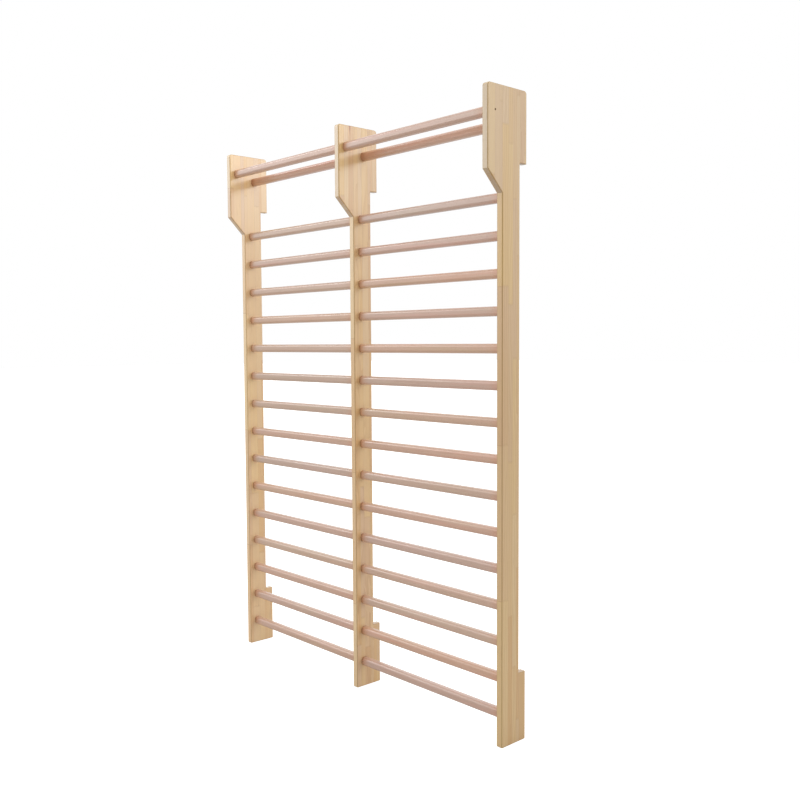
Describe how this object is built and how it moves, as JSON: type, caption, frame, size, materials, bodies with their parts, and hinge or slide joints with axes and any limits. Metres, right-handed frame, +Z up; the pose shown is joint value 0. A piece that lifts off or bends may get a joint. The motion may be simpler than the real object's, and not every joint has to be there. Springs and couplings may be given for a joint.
{
  "type": "double wall bars",
  "caption": "Wooden double wall bars: three uprights with forward head blocks and rear wall pads, joined by rounded climbing rungs, with a staggered pair of rungs on top.",
  "frame": {"origin": "on the floor, under the centre of the bounding box: midway between the outer uprights, and midway between the head blocks' front faces and the wall", "axes": "+Z up along the uprights, +X along the rungs towards the right-hand bay as a climber sees it, +Y into the wall"},
  "size_m": [1.8226, 0.227, 2.6],
  "materials": {
    "pine": "edge-glued and finger-jointed pine staves under clear satin varnish",
    "beech": "steamed beech under clear satin varnish",
    "screw_steel": "yellow-passivated zinc, dulled"
  },
  "bodies": {
    "root": {"left_upright": "pine", "left_head_block": "pine", "left_top_pad": "pine", "left_bottom_pad": "pine", "middle_upright": "pine", "middle_head_block": "pine", "middle_top_pad": "pine", "middle_bottom_pad": "pine", "right_upright": "pine", "right_head_block": "pine", "right_top_pad": "pine", "right_bottom_pad": "pine", "left_bay_rung_01": "beech", "left_bay_rung_02": "beech", "left_bay_rung_03": "beech", "left_bay_rung_04": "beech", "left_bay_rung_05": "beech", "left_bay_rung_06": "beech", "left_bay_rung_07": "beech", "left_bay_rung_08": "beech", "left_bay_rung_09": "beech", "left_bay_rung_10": "beech", "left_bay_rung_11": "beech", "left_bay_rung_12": "beech", "left_bay_rung_13": "beech", "left_bay_rung_14": "beech", "left_bay_rung_15": "beech", "left_bay_rear_top_rung": "beech", "left_bay_front_top_rung": "beech", "left_rung_screw": "screw_steel", "right_bay_rung_01": "beech", "right_bay_rung_02": "beech", "right_bay_rung_03": "beech", "right_bay_rung_04": "beech", "right_bay_rung_05": "beech", "right_bay_rung_06": "beech", "right_bay_rung_07": "beech", "right_bay_rung_08": "beech", "right_bay_rung_09": "beech", "right_bay_rung_10": "beech", "right_bay_rung_11": "beech", "right_bay_rung_12": "beech", "right_bay_rung_13": "beech", "right_bay_rung_14": "beech", "right_bay_rung_15": "beech", "right_bay_rear_top_rung": "beech", "right_bay_front_top_rung": "beech", "right_rung_screw": "screw_steel"}
  },
  "joints": []
}
